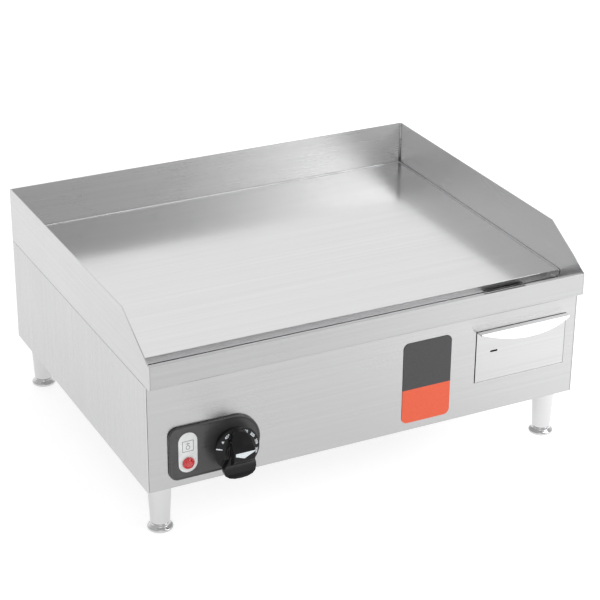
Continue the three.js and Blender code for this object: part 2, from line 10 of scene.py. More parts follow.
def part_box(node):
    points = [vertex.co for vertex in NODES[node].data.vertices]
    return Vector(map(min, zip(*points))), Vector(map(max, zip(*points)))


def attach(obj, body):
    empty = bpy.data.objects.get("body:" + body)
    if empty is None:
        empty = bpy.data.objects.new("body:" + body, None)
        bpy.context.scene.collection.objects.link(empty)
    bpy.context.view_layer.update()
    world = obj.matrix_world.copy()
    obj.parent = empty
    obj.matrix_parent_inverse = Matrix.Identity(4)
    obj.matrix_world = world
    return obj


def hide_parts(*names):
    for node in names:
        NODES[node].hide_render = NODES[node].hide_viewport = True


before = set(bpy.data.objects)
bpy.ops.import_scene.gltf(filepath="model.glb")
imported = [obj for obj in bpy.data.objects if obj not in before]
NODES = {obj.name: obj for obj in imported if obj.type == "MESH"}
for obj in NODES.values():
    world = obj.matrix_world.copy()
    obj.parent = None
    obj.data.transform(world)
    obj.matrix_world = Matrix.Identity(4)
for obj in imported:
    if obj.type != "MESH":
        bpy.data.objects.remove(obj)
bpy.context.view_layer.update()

MM = 0.001


# ---------------------------------------------------------------- camera, floor and light

CAMERA_TARGET = Vector((17.0, 8.0, 161.0)) * MM
CAMERA_DISTANCE = 2.5925
CAMERA_TURN = math.radians(26.78)
CAMERA_DOWN = math.radians(25.53)
CAMERA_ROLL = math.radians(0.476)
CAMERA_LENS = 114.76

WORLD_FRONT = 0.62
WORLD_BACK = 1.09
WORLD_TURN = math.radians(20.5)
WORLD_FADE = (0.24, 0.9)

# Painted light on the floor: its own glow, weaker on the left and stronger on the right where the
# front-right light falls.
FLOOR_PAINTED_LIGHT = (0.68, 0.98)
FLOOR_FADE = (0.05, 0.5)

LIGHT_TARGET = (0.15, 0, 0.2)


def make_camera():
    forward = Vector((
        math.sin(CAMERA_TURN) * math.cos(CAMERA_DOWN),
        math.cos(CAMERA_TURN) * math.cos(CAMERA_DOWN),
        -math.sin(CAMERA_DOWN),
    ))
    right = Vector((math.cos(CAMERA_TURN), -math.sin(CAMERA_TURN), 0))
    up = right.cross(forward)
    rolled_right = math.cos(CAMERA_ROLL) * right + math.sin(CAMERA_ROLL) * up
    rolled_up = math.cos(CAMERA_ROLL) * up - math.sin(CAMERA_ROLL) * right
    data = bpy.data.cameras.new("camera")
    data.lens = CAMERA_LENS
    data.sensor_width = 36
    camera = bpy.data.objects.new("camera", data)
    axes = Matrix((rolled_right, rolled_up, -forward)).transposed()
    camera.matrix_world = Matrix.Translation(CAMERA_TARGET - CAMERA_DISTANCE * forward) @ axes.to_4x4()
    bpy.context.scene.collection.objects.link(camera)
    bpy.context.scene.camera = camera


def eased(tree, value, fade, levels):
    """A node output that goes smoothly between two levels while the value crosses the fade."""
    ramp = tree.nodes.new("ShaderNodeMapRange")
    ramp.interpolation_type = "SMOOTHSTEP"
    ramp.inputs["From Min"].default_value = fade[0]
    ramp.inputs["From Max"].default_value = fade[1]
    ramp.inputs["To Min"].default_value = levels[0]
    ramp.inputs["To Max"].default_value = levels[1]
    tree.links.new(value, ramp.inputs["Value"])
    return ramp.outputs["Result"]


def make_world():
    """A white studio, brighter behind and to the right of the object than on the camera's side."""
    world = bpy.data.worlds.new("studio")
    bpy.context.scene.world = world
    world.use_nodes = True
    tree = world.node_tree
    direction = tree.nodes.new("ShaderNodeTexCoord")
    turn = tree.nodes.new("ShaderNodeMapping")
    turn.inputs["Rotation"].default_value = (0, 0, WORLD_TURN)
    tree.links.new(direction.outputs["Generated"], turn.inputs["Vector"])
    axes = tree.nodes.new("ShaderNodeSeparateXYZ")
    tree.links.new(turn.outputs["Vector"], axes.inputs["Vector"])
    brightness = eased(tree, axes.outputs["Y"], WORLD_FADE, (WORLD_FRONT, WORLD_BACK))
    tree.links.new(brightness, tree.nodes["Background"].inputs["Strength"])
    tree.nodes["Background"].inputs["Color"].default_value = (1, 1, 1, 1)


def softbox(name, place, target, size, radiance, feather):
    """A rectangular light as bright as given at its middle, fading out over the outer part of its face."""
    data = bpy.data.lights.new(name, "AREA")
    data.shape = "RECTANGLE"
    data.size, data.size_y = size
    data.energy = radiance * math.pi * size[0] * size[1]
    data.use_nodes = True
    tree = data.node_tree
    face = tree.nodes.new("ShaderNodeNewGeometry")
    centred = tree.nodes.new("ShaderNodeMapping")
    centred.inputs["Location"].default_value = (-1, -1, 0)
    centred.inputs["Scale"].default_value = (2, 2, 0)
    tree.links.new(face.outputs["Parametric"], centred.inputs["Vector"])
    falloff = tree.nodes.new("ShaderNodeTexGradient")
    falloff.gradient_type = "SPHERICAL"
    tree.links.new(centred.outputs["Vector"], falloff.inputs["Vector"])
    strength = eased(tree, falloff.outputs["Fac"], (0, feather), (0, 1))
    tree.links.new(strength, tree.nodes["Emission"].inputs["Strength"])
    light = bpy.data.objects.new(name, data)
    light.location = place
    light.rotation_euler = (Vector(target) - Vector(place)).to_track_quat("-Z", "Y").to_euler()
    bpy.context.scene.collection.objects.link(light)


def make_lights():
    softbox("overhead", (1.35, -0.75, 2.2), (1.35, -0.75, 0), (1.9, 1.5), radiance=2.6, feather=0.35)
    softbox("front_right", (1.75, -1.75, 1.5), LIGHT_TARGET, (1.9, 1.9), radiance=3.0, feather=0.68)
    softbox("front_left", (-0.75, -1.6, 1.2), LIGHT_TARGET, (1.5, 1.2), radiance=0.9, feather=0.5)


def make_floor():
    """Pale floor that glows by itself: painted light standing in for the studio light on it, brighter on its
    right.
    """
    half = 6.0
    mesh = bpy.data.meshes.new("floor")
    corners = [(-half, -half, 0), (half, -half, 0), (half, half, 0), (-half, half, 0)]
    mesh.from_pydata(corners, [], [(0, 1, 2, 3)])
    floor = bpy.data.objects.new("floor", mesh)
    bpy.context.scene.collection.objects.link(floor)
    material = bpy.data.materials.new("pale_floor")
    material.use_nodes = True
    tree = material.node_tree
    place = tree.nodes.new("ShaderNodeTexCoord")
    axes = tree.nodes.new("ShaderNodeSeparateXYZ")
    tree.links.new(place.outputs["Object"], axes.inputs["Vector"])
    painted_light = eased(tree, axes.outputs["X"], FLOOR_FADE, FLOOR_PAINTED_LIGHT)
    shader = tree.nodes["Principled BSDF"]
    tree.links.new(painted_light, shader.inputs["Emission Strength"])
    shader.inputs["Emission Color"].default_value = (1, 1, 1, 1)
    shader.inputs["Base Color"].default_value = (0.55, 0.55, 0.55, 1)
    shader.inputs["Roughness"].default_value = 0.9
    shader.inputs["Specular IOR Level"].default_value = 0.1
    mesh.materials.append(material)


# ---------------------------------------------------------------- materials

class Shader:
    """A material with its Principled shader and short ways to add nodes to it."""

    def __init__(self, name, color, roughness, metallic=0.0):
        self.material = bpy.data.materials.new(name)
        self.material.use_nodes = True
        self.tree = self.material.node_tree
        self.principled = self.tree.nodes["Principled BSDF"]
        self.set("Base Color", (*color, 1))
        self.set("Roughness", roughness)
        self.set("Metallic", metallic)
        self.place = self.node("ShaderNodeTexCoord").outputs["Object"]

    def node(self, kind, **settings):
        made = self.tree.nodes.new(kind)
        for key, value in settings.items():
            setattr(made, key, value)
        return made

    def set(self, socket, value):
        self.principled.inputs[socket].default_value = value

    def link(self, output, target):
        self.tree.links.new(output, target)

    def drive(self, socket, output):
        self.link(output, self.principled.inputs[socket])

    def noise(self, scale, detail=2.0, roughness=0.5, stretch=(1, 1, 1)):
        mapping = self.node("ShaderNodeMapping")
        mapping.inputs["Scale"].default_value = [scale * s for s in stretch]
        self.link(self.place, mapping.inputs["Vector"])
        noise = self.node("ShaderNodeTexNoise")
        noise.inputs["Scale"].default_value = 1
        noise.inputs["Detail"].default_value = detail
        noise.inputs["Roughness"].default_value = roughness
        self.link(mapping.outputs["Vector"], noise.inputs["Vector"])
        return noise.outputs["Fac"]

    def spread(self, value, low, high, start=0.3, end=0.7):
        ramp = self.node("ShaderNodeMapRange")
        ramp.inputs["From Min"].default_value = start
        ramp.inputs["From Max"].default_value = end
        ramp.inputs["To Min"].default_value = low
        ramp.inputs["To Max"].default_value = high
        self.link(value, ramp.inputs["Value"])
        return ramp.outputs["Result"]

    def mix_colors(self, factor, first, second):
        mix = self.node("ShaderNodeMix", data_type="RGBA")
        self.link(factor, mix.inputs["Factor"])
        for socket, color in ((mix.inputs[6], first), (mix.inputs[7], second)):
            if isinstance(color, tuple):
                socket.default_value = (*color, 1)
            else:
                self.link(color, socket)
        return mix.outputs[2]

    def bump(self, height, strength, distance):
        bump = self.node("ShaderNodeBump")
        bump.inputs["Strength"].default_value = strength
        bump.inputs["Distance"].default_value = distance
        self.link(height, bump.inputs["Height"])
        self.drive("Normal", bump.outputs["Normal"])


GRAIN = {"x": (0.008, 1, 1), "y": (1, 0.008, 1), "z": (1, 1, 0.008)}


def brushed_steel(name, grain, color, roughness=0.27, streak=0.85):
    """Stainless sheet with fine lines along one axis, which spread its reflections across them."""
    steel = Shader(name, (color, color, color * 1.01), roughness, 1.0)
    across = steel.node("ShaderNodeTangent", direction_type="RADIAL", axis=grain.upper())
    steel.drive("Tangent", across.outputs["Tangent"])
    steel.set("Anisotropic", streak)
    lines = steel.noise(1500, 3, 0.6, GRAIN[grain])
    broad = steel.noise(260, 2, 0.5, GRAIN[grain])
    smears = steel.noise(9, 3, 0.55)
    dark = tuple(color * k for k in (0.975, 0.975, 0.98))
    light = tuple(min(1.0, color * k) for k in (1.02, 1.02, 1.025))
    steel.drive("Base Color", steel.mix_colors(steel.spread(broad, 0, 1), dark, light))
    gloss = steel.node("ShaderNodeMath", operation="ADD")
    steel.link(steel.spread(lines, roughness - 0.02, roughness + 0.02), gloss.inputs[0])
    steel.link(steel.spread(smears, -0.015, 0.02), gloss.inputs[1])
    steel.drive("Roughness", gloss.outputs[0])
    steel.bump(lines, 0.04, 0.00004)
    return steel.material


def polished_steel(name, color, roughness):
    steel = Shader(name, (color, color, color * 1.01), roughness, 1.0)
    rings = steel.noise(500, 2, 0.5, (0.1, 0.1, 1))
    steel.drive("Roughness", steel.spread(rings, roughness * 0.7, roughness * 1.6))
    steel.bump(rings, 0.12, 0.00003)
    return steel.material


def moulded_plastic(name, color, roughness, texture=0.25, scale=1600, specular=0.5):
    plastic = Shader(name, color, roughness)
    plastic.set("Specular IOR Level", specular)
    grain = plastic.noise(scale, 2, 0.5)
    wear = plastic.noise(60, 4, 0.6)
    lighter = tuple(c * 1.25 + 0.004 for c in color)
    plastic.drive("Base Color", plastic.mix_colors(plastic.spread(wear, 0, 1), color, lighter))
    plastic.drive("Roughness", plastic.spread(wear, roughness - 0.05, roughness + 0.07))
    plastic.bump(grain, texture, 0.00008)
    return plastic.material


def lamp_plastic(name):
    lamp = Shader(name, (0.6, 0.012, 0.02), 0.12)
    cells = lamp.node("ShaderNodeTexVoronoi")
    cells.inputs["Scale"].default_value = 420
    lamp.link(lamp.place, cells.inputs["Vector"])
    facets = lamp.spread(cells.outputs["Distance"], 0, 1, 0.1, 0.8)
    lamp.drive("Base Color", lamp.mix_colors(facets, (0.68, 0.02, 0.026), (0.5, 0.008, 0.014)))
    lamp.set("Coat Weight", 0.8)
    lamp.set("Coat Roughness", 0.05)
    lamp.set("Subsurface Weight", 0.15)
    lamp.set("Subsurface Radius", (0.003, 0.001, 0.001))
    lamp.bump(cells.outputs["Distance"], 0.3, 0.0002)
    return lamp.material


def label_print(name):
    """Two plain bands of print, dark above and warm red below, with a soft satin face."""
    low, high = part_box("label_plate")
    split = low.z + (high.z - low.z) * 0.42
    ink = Shader(name, (0.7, 0.08, 0.03), 0.35)
    axes = ink.node("ShaderNodeSeparateXYZ")
    ink.link(ink.place, axes.inputs["Vector"])
    band = ink.spread(axes.outputs["Z"], 0, 1, split - 0.0002, split + 0.0002)
    fibres = ink.noise(700, 3, 0.6)
    warm = ink.mix_colors(ink.spread(fibres, 0, 1), (0.74, 0.085, 0.028), (0.8, 0.115, 0.04))
    dark = ink.mix_colors(ink.spread(fibres, 0, 1), (0.035, 0.035, 0.037), (0.05, 0.05, 0.053))
    ink.drive("Base Color", ink.mix_colors(band, warm, dark))
    ink.drive("Roughness", ink.spread(fibres, 0.3, 0.42))
    ink.bump(fibres, 0.1, 0.00003)
    return ink.material


def plain_parts_material(name, color, roughness, metallic=0.0, scale=300):
    """Mottled colour and gloss, for the pieces inside the cabinet and small metal parts."""
    part = Shader(name, color, roughness, metallic)
    mottle = part.noise(scale, 4, 0.6)
    darker = tuple(c * 0.75 for c in color)
    part.drive("Base Color", part.mix_colors(part.spread(mottle, 0, 1), darker, color))
    part.drive("Roughness", part.spread(mottle, roughness - 0.08, roughness + 0.1))
    part.bump(mottle, 0.3, 0.0002)
    return part.material


# The sheets are most likely one steel. Their colours differ to balance a studio light that is only guessed.
MATERIALS = {
    "sheet_x": brushed_steel("sheet_x", "x", color=0.5, roughness=0.25, streak=0.8),
    "apron": brushed_steel("apron", "x", color=0.46, roughness=0.25, streak=0.8),
    "sheet_z": brushed_steel("sheet_z", "z", color=0.62),
    "guard_left": brushed_steel("guard_left", "y", color=0.61, roughness=0.25, streak=0.9),
    "guard_right": brushed_steel("guard_right", "y", color=0.72, roughness=0.25, streak=0.9),
    "trough": brushed_steel("trough", "x", color=0.85, roughness=0.25, streak=0.2),
    "splash": brushed_steel("splash", "x", color=0.64, roughness=0.28, streak=0.9),
    "plate": brushed_steel("plate", "x", color=0.66, roughness=0.17, streak=0.3),
    "drawer": brushed_steel("drawer", "x", color=0.53, roughness=0.13, streak=0.3),
    "weld": polished_steel("weld", color=0.6, roughness=0.3),
    "legs": polished_steel("legs", color=0.62, roughness=0.05),
    "zinc": plain_parts_material("zinc", (0.5, 0.51, 0.52), 0.35, 1.0),
    "bezel": moulded_plastic("bezel", (0.045, 0.044, 0.046), 0.3, 0.12),
    "knob": moulded_plastic("knob", (0.005, 0.005, 0.006), 0.16, 0.08, specular=0.22),
    "indicator": moulded_plastic("indicator", (0.62, 0.63, 0.63), 0.4, 0.1),
    "white_print": moulded_plastic("white_print", (0.72, 0.76, 0.79), 0.45, 0.1),
    "dark_print": moulded_plastic("dark_print", (0.035, 0.035, 0.038), 0.5, 0.1),
    # Near-black: painted shade for the gap under the plate's front edge.
    "gap_shade": moulded_plastic("gap_shade", (0.02, 0.02, 0.02), 0.6, 0.2),
    "silver": plain_parts_material("silver", (0.78, 0.83, 0.86), 0.3, 0.5, 900),
    "lamp": lamp_plastic("lamp"),
    "label": label_print("label"),
    # Near-black with little gloss: painted shade inside the drain hole, put on the drain chute.
    "drain_shade": moulded_plastic("drain_shade", (0.01, 0.009, 0.008), 0.75, 0.3, 500, specular=0.08),
    "sheath": plain_parts_material("sheath", (0.13, 0.115, 0.1), 0.5, 1.0),
    "wool": plain_parts_material("wool", (0.75, 0.7, 0.58), 0.95, 0.0, 900),
    "phenolic": plain_parts_material("phenolic", (0.05, 0.035, 0.025), 0.5),
    "sleeve": plain_parts_material("sleeve", (0.65, 0.6, 0.5), 0.8, 0.0, 2500),
    "copper": plain_parts_material("copper", (0.7, 0.35, 0.2), 0.3, 1.0),
}

NODE_MATERIALS = {
    "griddle_plate": "plate",
    "backsplash": "splash",
    "left_splash_guard": "guard_left",
    "right_splash_guard": "guard_right",
    "front_apron": "apron",
    "grease_trough": "trough",
    "drain_chute": "drain_shade",
    "front_panel": "sheet_x",
    "left_side_panel": "sheet_z",
    "right_side_panel": "sheet_z",
    "back_panel": "sheet_x",
    "bottom_panel": "sheet_x",
    "indicator_plate": "indicator",
    "pilot_lamp_body": "bezel",
    "thermostat_body": "phenolic",
    "thermostat_shaft": "zinc",
    "label_plate": "label",
    "insulation_tray": "zinc",
    "insulation_blanket": "wool",
    "thermostat_bulb": "copper",
    "capillary_tube": "copper",
    "high_limit_switch": "phenolic",
    "drawer_front": "drawer",
    "drawer_pan": "drawer",
    "drawer_runner_left": "zinc",
    "drawer_runner_right": "zinc",
    "drawer_runner_bracket": "zinc",
    "terminal_block": "phenolic",
    "gland_locknut": "zinc",
    "earth_stud": "zinc",
}
for kind, look in (("leg_nut_", "zinc"), ("heating_element_", "sheath"), ("element_clamp_", "zinc")):
    NODE_MATERIALS.update({name: look for name in NODES if name.startswith(kind)})
NODE_MATERIALS.update({name: "sleeve" for name in NODES if name.endswith("_lead")})

SHEETS = {
    "sheet_x", "sheet_z", "apron", "guard_left", "guard_right", "trough", "splash", "drawer", "plate",
}
SHEET_EDGE = 0.45 * MM
OTHER_EDGES = {
    "griddle_plate": 0.3 * MM,
    "drawer_front": 0.35 * MM,
    "left_splash_guard": 0.25 * MM,
    "right_splash_guard": 0.25 * MM,
}
LEAST_SOFTENED_BEND = math.radians(30)


def soften_edges(thing, width):
    weld = thing.modifiers.new("weld", "WELD")
    weld.merge_threshold = 1e-6
    bevel = thing.modifiers.new("bevel", "BEVEL")
    bevel.width = width
    bevel.segments = 2
    bevel.limit_method = "ANGLE"
    bevel.angle_limit = LEAST_SOFTENED_BEND
    normals = thing.modifiers.new("normals", "WEIGHTED_NORMAL")
    normals.weight = 80


def dress_nodes():
    for name, look in NODE_MATERIALS.items():
        node = NODES[name]
        node.data.materials.clear()
        node.data.materials.append(MATERIALS[look])
        if look in SHEETS:
            soften_edges(node, OTHER_EDGES.get(name, SHEET_EDGE))


# ---------------------------------------------------------------- mesh tools

def clean_mesh(name, vertices, faces):
    """A mesh whose meeting corners are joined and whose faces all look outward."""
    mesh = bpy.data.meshes.new(name)
    mesh.from_pydata([tuple(v) for v in vertices], [], faces)
    work = bmesh.new()
    work.from_mesh(mesh)
    bmesh.ops.remove_doubles(work, verts=work.verts, dist=1e-7)
    bmesh.ops.recalc_face_normals(work, faces=work.faces)
    work.to_mesh(mesh)
    work.free()
    return mesh


def loose(mesh):
    thing = bpy.data.objects.new(mesh.name, mesh)
    bpy.context.scene.collection.objects.link(thing)
    return thing


def applied(thing):
    """The thing's mesh as its modifiers leave it; the thing itself is removed."""
    graph = bpy.context.evaluated_depsgraph_get()
    mesh = bpy.data.meshes.new_from_object(thing.evaluated_get(graph))
    bpy.data.objects.remove(thing)
    return mesh


def boolean(mesh, operation, tool):
    thing, other = loose(mesh), loose(tool)
    modifier = thing.modifiers.new("boolean", "BOOLEAN")
    modifier.operation = operation
    modifier.solver = "EXACT"
    modifier.object = other
    result = applied(thing)
    bpy.data.objects.remove(other)
    return result


def merged(name, meshes):
    work = bmesh.new()
    for mesh in meshes:
        work.from_mesh(mesh)
    result = bpy.data.meshes.new(name)
    work.to_mesh(result)
    work.free()
    return result


def moulded(name, meshes, voxel, rounds):
    """One smooth moulded body from meshes that overlap."""
    thing = loose(merged(name, meshes))
    remesh = thing.modifiers.new("remesh", "REMESH")
    remesh.mode = "VOXEL"
    remesh.voxel_size = voxel
    smooth = thing.modifiers.new("smooth", "SMOOTH")
    smooth.iterations = rounds
    return applied(thing)


def show(mesh, name, look, body):
    mesh.name = name
    mesh.materials.clear()
    mesh.materials.append(MATERIALS[look])
    mesh.polygons.foreach_set("use_smooth", [True] * len(mesh.polygons))
    piece = loose(mesh)
    piece.name = name
    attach(piece, body)
    return piece


def rounded(points, radius, steps=4):
    """The polyline with each inner corner replaced by a smooth curve of about that radius."""
    result = []
    for i, corner in enumerate(points):
        here = Vector(corner)
        if i in (0, len(points) - 1):
            result.append(here)
            continue
        before = Vector(points[i - 1]) - here
        after = Vector(points[i + 1]) - here
        reach = min(radius, before.length / 2.05, after.length / 2.05)
        start = here + before.normalized() * reach
        end = here + after.normalized() * reach
        for step in range(steps + 1):
            t = step / steps
            result.append(start * (1 - t) ** 2 + here * 2 * t * (1 - t) + end * t * t)
    return result


def band(first, second, count):
    """Faces between two rings of vertices, each given by the number of its first one."""
    steps = [(i, (i + 1) % count) for i in range(count)]
    return [(first + i, first + j, second + j, second + i) for i, j in steps]


def lathe(name, profile, place, axis="z", segments=96):
    """(radius, height) points turned about Z, or about -Y so that height grows towards the user."""
    vertices = []
    faces = []
    for radius, height in profile:
        for i in range(segments):
            angle = 2 * math.pi * i / segments
            u, v = radius * math.cos(angle), radius * math.sin(angle)
            point = Vector((u, v, height)) if axis == "z" else Vector((u, -height, v))
            vertices.append(point + Vector(place))
    for ring in range(len(profile) - 1):
        faces += band(ring * segments, (ring + 1) * segments, segments)
    return clean_mesh(name, vertices, faces)


def prism_faces(count):
    return [tuple(range(count)), tuple(range(2 * count - 1, count - 1, -1)), *band(0, count, count)]


def prism_y(name, outline, y0, y1):
    """An (x, z) outline drawn from y0 to y1."""
    vertices = [(x, y, z) for y in (y0, y1) for x, z in outline]
    return clean_mesh(name, vertices, prism_faces(len(outline)))


def prism_x(name, outline, x0, x1):
    """A (y, z) outline drawn from x0 to x1."""
    turned = prism_y(name, outline, x0, x1)
    vertices = [(v.co.y, v.co.x, v.co.z) for v in turned.vertices]
    return clean_mesh(name, vertices, [tuple(p.vertices) for p in turned.polygons])


def tube(name, points, radius, sides=12):
    """A round bar along a path."""
    path = [Vector(p) for p in points]
    vertices = []
    faces = []
    across = None
    for i, point in enumerate(path):
        ahead = (path[min(i + 1, len(path) - 1)] - path[max(i - 1, 0)]).normalized()
        if across is None:
            across = ahead.orthogonal().normalized()
        across = (across - ahead * across.dot(ahead)).normalized()
        other = ahead.cross(across)
        for k in range(sides):
            angle = 2 * math.pi * k / sides
            vertices.append(point + radius * (math.cos(angle) * across + math.sin(angle) * other))
    for ring in range(len(path) - 1):
        faces += band(ring * sides, (ring + 1) * sides, sides)
    last = (len(path) - 1) * sides
    faces += [tuple(range(sides)), tuple(range(last, last + sides))]
    return clean_mesh(name, vertices, faces)


def arc(cx, cz, radius, start, end, steps):
    angles = [math.radians(start + (end - start) * i / steps) for i in range(steps + 1)]
    return [(cx + radius * math.cos(a), cz + radius * math.sin(a)) for a in angles]


def rounded_rectangle(low, high, corner, inset, steps):
    """(x, z) outline of a box's front, counter-clockwise from its lower right corner."""
    radius = corner - inset
    outline = []
    for x, z, start in (
        (high.x - corner, low.z + corner, -90),
        (high.x - corner, high.z - corner, 0),
        (low.x + corner, high.z - corner, 90),
        (low.x + corner, low.z + corner, 180),
    ):
        outline += arc(x, z, radius, start, start + 90, steps)
    return outline


def layered(name, rings):
    """A closed body through outlines of equal length, each given as (outline, y)."""
    vertices = [(x, y, z) for outline, y in rings for x, z in outline]
    count = len(rings[0][0])
    faces = [tuple(range(count))]
    for level in range(len(rings) - 1):
        faces += band(level * count, (level + 1) * count, count)
    last = (len(rings) - 1) * count
    faces.append(tuple(range(last, last + count)))
    return clean_mesh(name, vertices, faces)


def keep_flats_flat(piece):
    normals = piece.modifiers.new("normals", "WEIGHTED_NORMAL")
    normals.weight = 60


# ---------------------------------------------------------------- legs and feet

LEG_PLACES = [f"{end}_{side}" for end in ("front", "back") for side in ("left", "right")]


def make_leg(place):
    """Tapered tube with a rolled lower edge."""
    low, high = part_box("leg_" + place)
    centre = ((low.x + high.x) / 2, (low.y + high.y) / 2, 0)
    widest = (high.x - low.x) / 2
    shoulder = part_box("bottom_panel")[0].z - 0.3 * MM
    bore = 5.2 * MM
    foot = widest - 3.5 * MM
    profile = [
        (bore, low.z), (foot, low.z), (foot + 0.5 * MM, low.z + 1.2 * MM),
        (widest, shoulder - 1.5 * MM), (widest, shoulder), (bore, shoulder), (bore, low.z),
    ]
    mesh = lathe("leg", rounded(profile, 0.8 * MM), centre)
    piece = show(mesh, "leg_tube_" + place, "legs", "cabinet")
    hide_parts("leg_" + place)


def make_foot(place):
    """Levelling foot: a flanged pad with a waisted neck and a threaded stem."""
    low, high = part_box("foot_" + place)
    centre = ((low.x + high.x) / 2, (low.y + high.y) / 2, 0)
    rim = (high.x - low.x) / 2
    neck = rim - 5.0 * MM
    top = 9.7 * MM
    stem = 4.8 * MM
    profile = [
        (0.0, 0.0), (rim - 1.2 * MM, 0.0), (rim, 1.0 * MM), (rim, 3.6 * MM), (rim - 1.6 * MM, 5.0 * MM),
        (neck + 0.9 * MM, 6.4 * MM), (neck, top - 0.6 * MM), (neck - 0.6 * MM, top), (stem, top),
    ]
    profile = rounded(profile, 0.9 * MM)
    pitch = 1.25 * MM
    height = top
    while height < high.z - pitch:
        profile += [Vector((stem, height)), Vector((stem - 0.5 * MM, height + pitch / 2))]
        height += pitch
    profile += [Vector((stem - 0.3 * MM, high.z)), Vector((0.0, high.z))]
    piece = show(lathe("foot", profile, centre), "foot_pad_" + place, "legs", "foot_" + place)
    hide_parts("foot_" + place)


# ---------------------------------------------------------------- control bezel, lamp and label

# The knob's axis is this far below its top.
KNOB_RADIUS = 30.2 * MM
BEZEL_SINK = 0.7 * MM


def bezel_outline(inset):
    low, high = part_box("control_bezel")
    radius = (high.z - low.z) / 2
    middle = (high.z + low.z) / 2
    corner = 11.5 * MM
    outline = arc(high.x - radius, middle, radius - inset, -90, 90, 48)
    outline += arc(low.x + corner, high.z - corner, corner - inset, 90, 180, 12)
    outline += arc(low.x + corner, low.z + corner, corner - inset, 180, 270, 12)
    return outline


def make_bezel():
    """Moulded plate with a rolled rim round a slightly sunken face."""
    low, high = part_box("control_bezel")
    section = [
        (0.0, high.y), (0.0, low.y + 1.6 * MM),
        (0.25 * MM, low.y + 0.8 * MM), (0.8 * MM, low.y + 0.2 * MM),
        (1.5 * MM, low.y), (2.3 * MM, low.y + 0.15 * MM),
        (2.7 * MM, low.y + 0.6 * MM), (3.6 * MM, low.y + BEZEL_SINK),
    ]
    mesh = layered("bezel", [(bezel_outline(inset), y) for inset, y in section])
    piece = show(mesh, "bezel_shell", "bezel", "cabinet")
    keep_flats_flat(piece)
    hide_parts("control_bezel")


def make_index_mark():
    """Printed index on the bezel, to the left of the dial."""
    knob_low, knob_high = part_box("control_knob")
    centre_z = knob_high.z - KNOB_RADIUS
    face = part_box("control_bezel")[0].y + BEZEL_SINK
    right = knob_low.x - 3.5 * MM
    left = right - 7 * MM
    low, high = centre_z + 2.6 * MM, centre_z + 3.8 * MM
    bar = [(left, low), (right, low), (right, high), (left, high)]
    mesh = prism_y("mark", bar, face - 0.06 * MM, face + 0.2 * MM)
    show(mesh, "index_mark", "dark_print", "cabinet")


def make_indicator():
    """Light pill-shaped plate with a printed lamp symbol in a square frame."""
    low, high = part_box("indicator_plate")
    corner = (high.x - low.x) / 2 - 0.05 * MM
    section = [(0.0, high.y), (0.0, low.y + 0.35 * MM), (0.12 * MM, low.y + 0.1 * MM), (0.4 * MM, low.y)]
    mesh = layered("pill", [(rounded_rectangle(low, high, corner, inset, 16), y) for inset, y in section])
    piece = show(mesh, "indicator_pill", "indicator", "cabinet")
    keep_flats_flat(piece)
    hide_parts("indicator_plate")

    centre = ((low.x + high.x) / 2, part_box("pilot_lamp_lens")[1].z + 15.2 * MM)
    back, front = low.y + 0.1 * MM, low.y - 0.05 * MM
    half, line = 7.4 * MM, 0.55 * MM
    strokes = []
    for x0, x1, z0, z1 in (
        (-half, half, half - line, half), (-half, half, -half, -half + line),
        (-half, -half + line, -half + line, half - line), (half - line, half, -half + line, half - line),
        (-line / 2, line / 2, 1.6 * MM, 5.0 * MM), (-2.6 * MM, 2.6 * MM, 3.0 * MM, 3.0 * MM + line),
    ):
        box = [(centre[0] + x, centre[1] + z) for x, z in ((x0, z0), (x1, z0), (x1, z1), (x0, z1))]
        strokes.append(prism_y("stroke", box, front, back))
    ring_place = (centre[0], 0, centre[1] - 1.8 * MM)
    ring = [(2.2 * MM, -back), (2.8 * MM, -back), (2.8 * MM, -front), (2.2 * MM, -front), (2.2 * MM, -back)]
    strokes.append(lathe("ring", ring, ring_place, "-y", 40))
    show(merged("icon", strokes), "lamp_symbol", "dark_print", "cabinet")


def make_lamp():
    """Red lens: a collar round a low dome."""
    low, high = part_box("pilot_lamp_lens")
    centre = ((low.x + high.x) / 2, 0, (low.z + high.z) / 2)
    radius = (high.x - low.x) / 2
    base, front = -high.y, -low.y
    profile = [
        (0.0, base), (radius, base), (radius, base + 1.5 * MM),
        (radius - 0.5 * MM, base + 2.1 * MM), (radius - 1.3 * MM, base + 2.0 * MM),
        (radius - 1.8 * MM, base + 1.3 * MM), (radius - 2.4 * MM, base + 1.6 * MM),
        (radius * 0.5, front - 0.7 * MM), (radius * 0.25, front - 0.15 * MM), (0.0, front),
    ]
    mesh = lathe("lens", rounded(profile, 0.8 * MM), centre, "-y")
    piece = show(mesh, "lamp_lens", "lamp", "cabinet")
    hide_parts("pilot_lamp_lens")


def make_label():
    low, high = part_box("label_plate")
    section = [(0.0, high.y), (0.0, low.y + 0.2 * MM), (0.2 * MM, low.y)]
    mesh = layered("label", [(rounded_rectangle(low, high, 8 * MM, inset, 14), y) for inset, y in section])
    piece = show(mesh, "front_label", "label", "cabinet")
    keep_flats_flat(piece)
    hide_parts("label_plate")


# ---------------------------------------------------------------- thermostat knob

# Each print's angle on the dial, in degrees from the right.
NUMERALS = {"450": 123, "400": 94, "350": 67, "300": 40, "250": 13, "200": -14, "150": -41}
OFF_LINE = 166
TRIANGLE = 143

# The dial's sloping face: the radius and depth of its inner edge, and how much deeper it gets outward.
DIAL_EDGE = 20.5
DIAL_DEPTH = 19.5
DIAL_SLOPE = 2.2 / 9.1
PRINT_RADIUS = 25.2


def knob_centre():
    low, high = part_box("control_knob")
    return Vector(((low.x + high.x) / 2, low.y, high.z - KNOB_RADIUS))


def at_knob(points):
    centre = knob_centre()
    return [(centre.x + x * MM, centre.z + z * MM) for x, z in points]


def across_knob(name, points, half_width):
    """A (depth, height) outline in millimetres, drawn across the knob."""
    centre = knob_centre()
    outline = [(centre.y + y * MM, centre.z + z * MM) for y, z in points]
    return prism_x(name, outline, centre.x - half_width * MM, centre.x + half_width * MM)


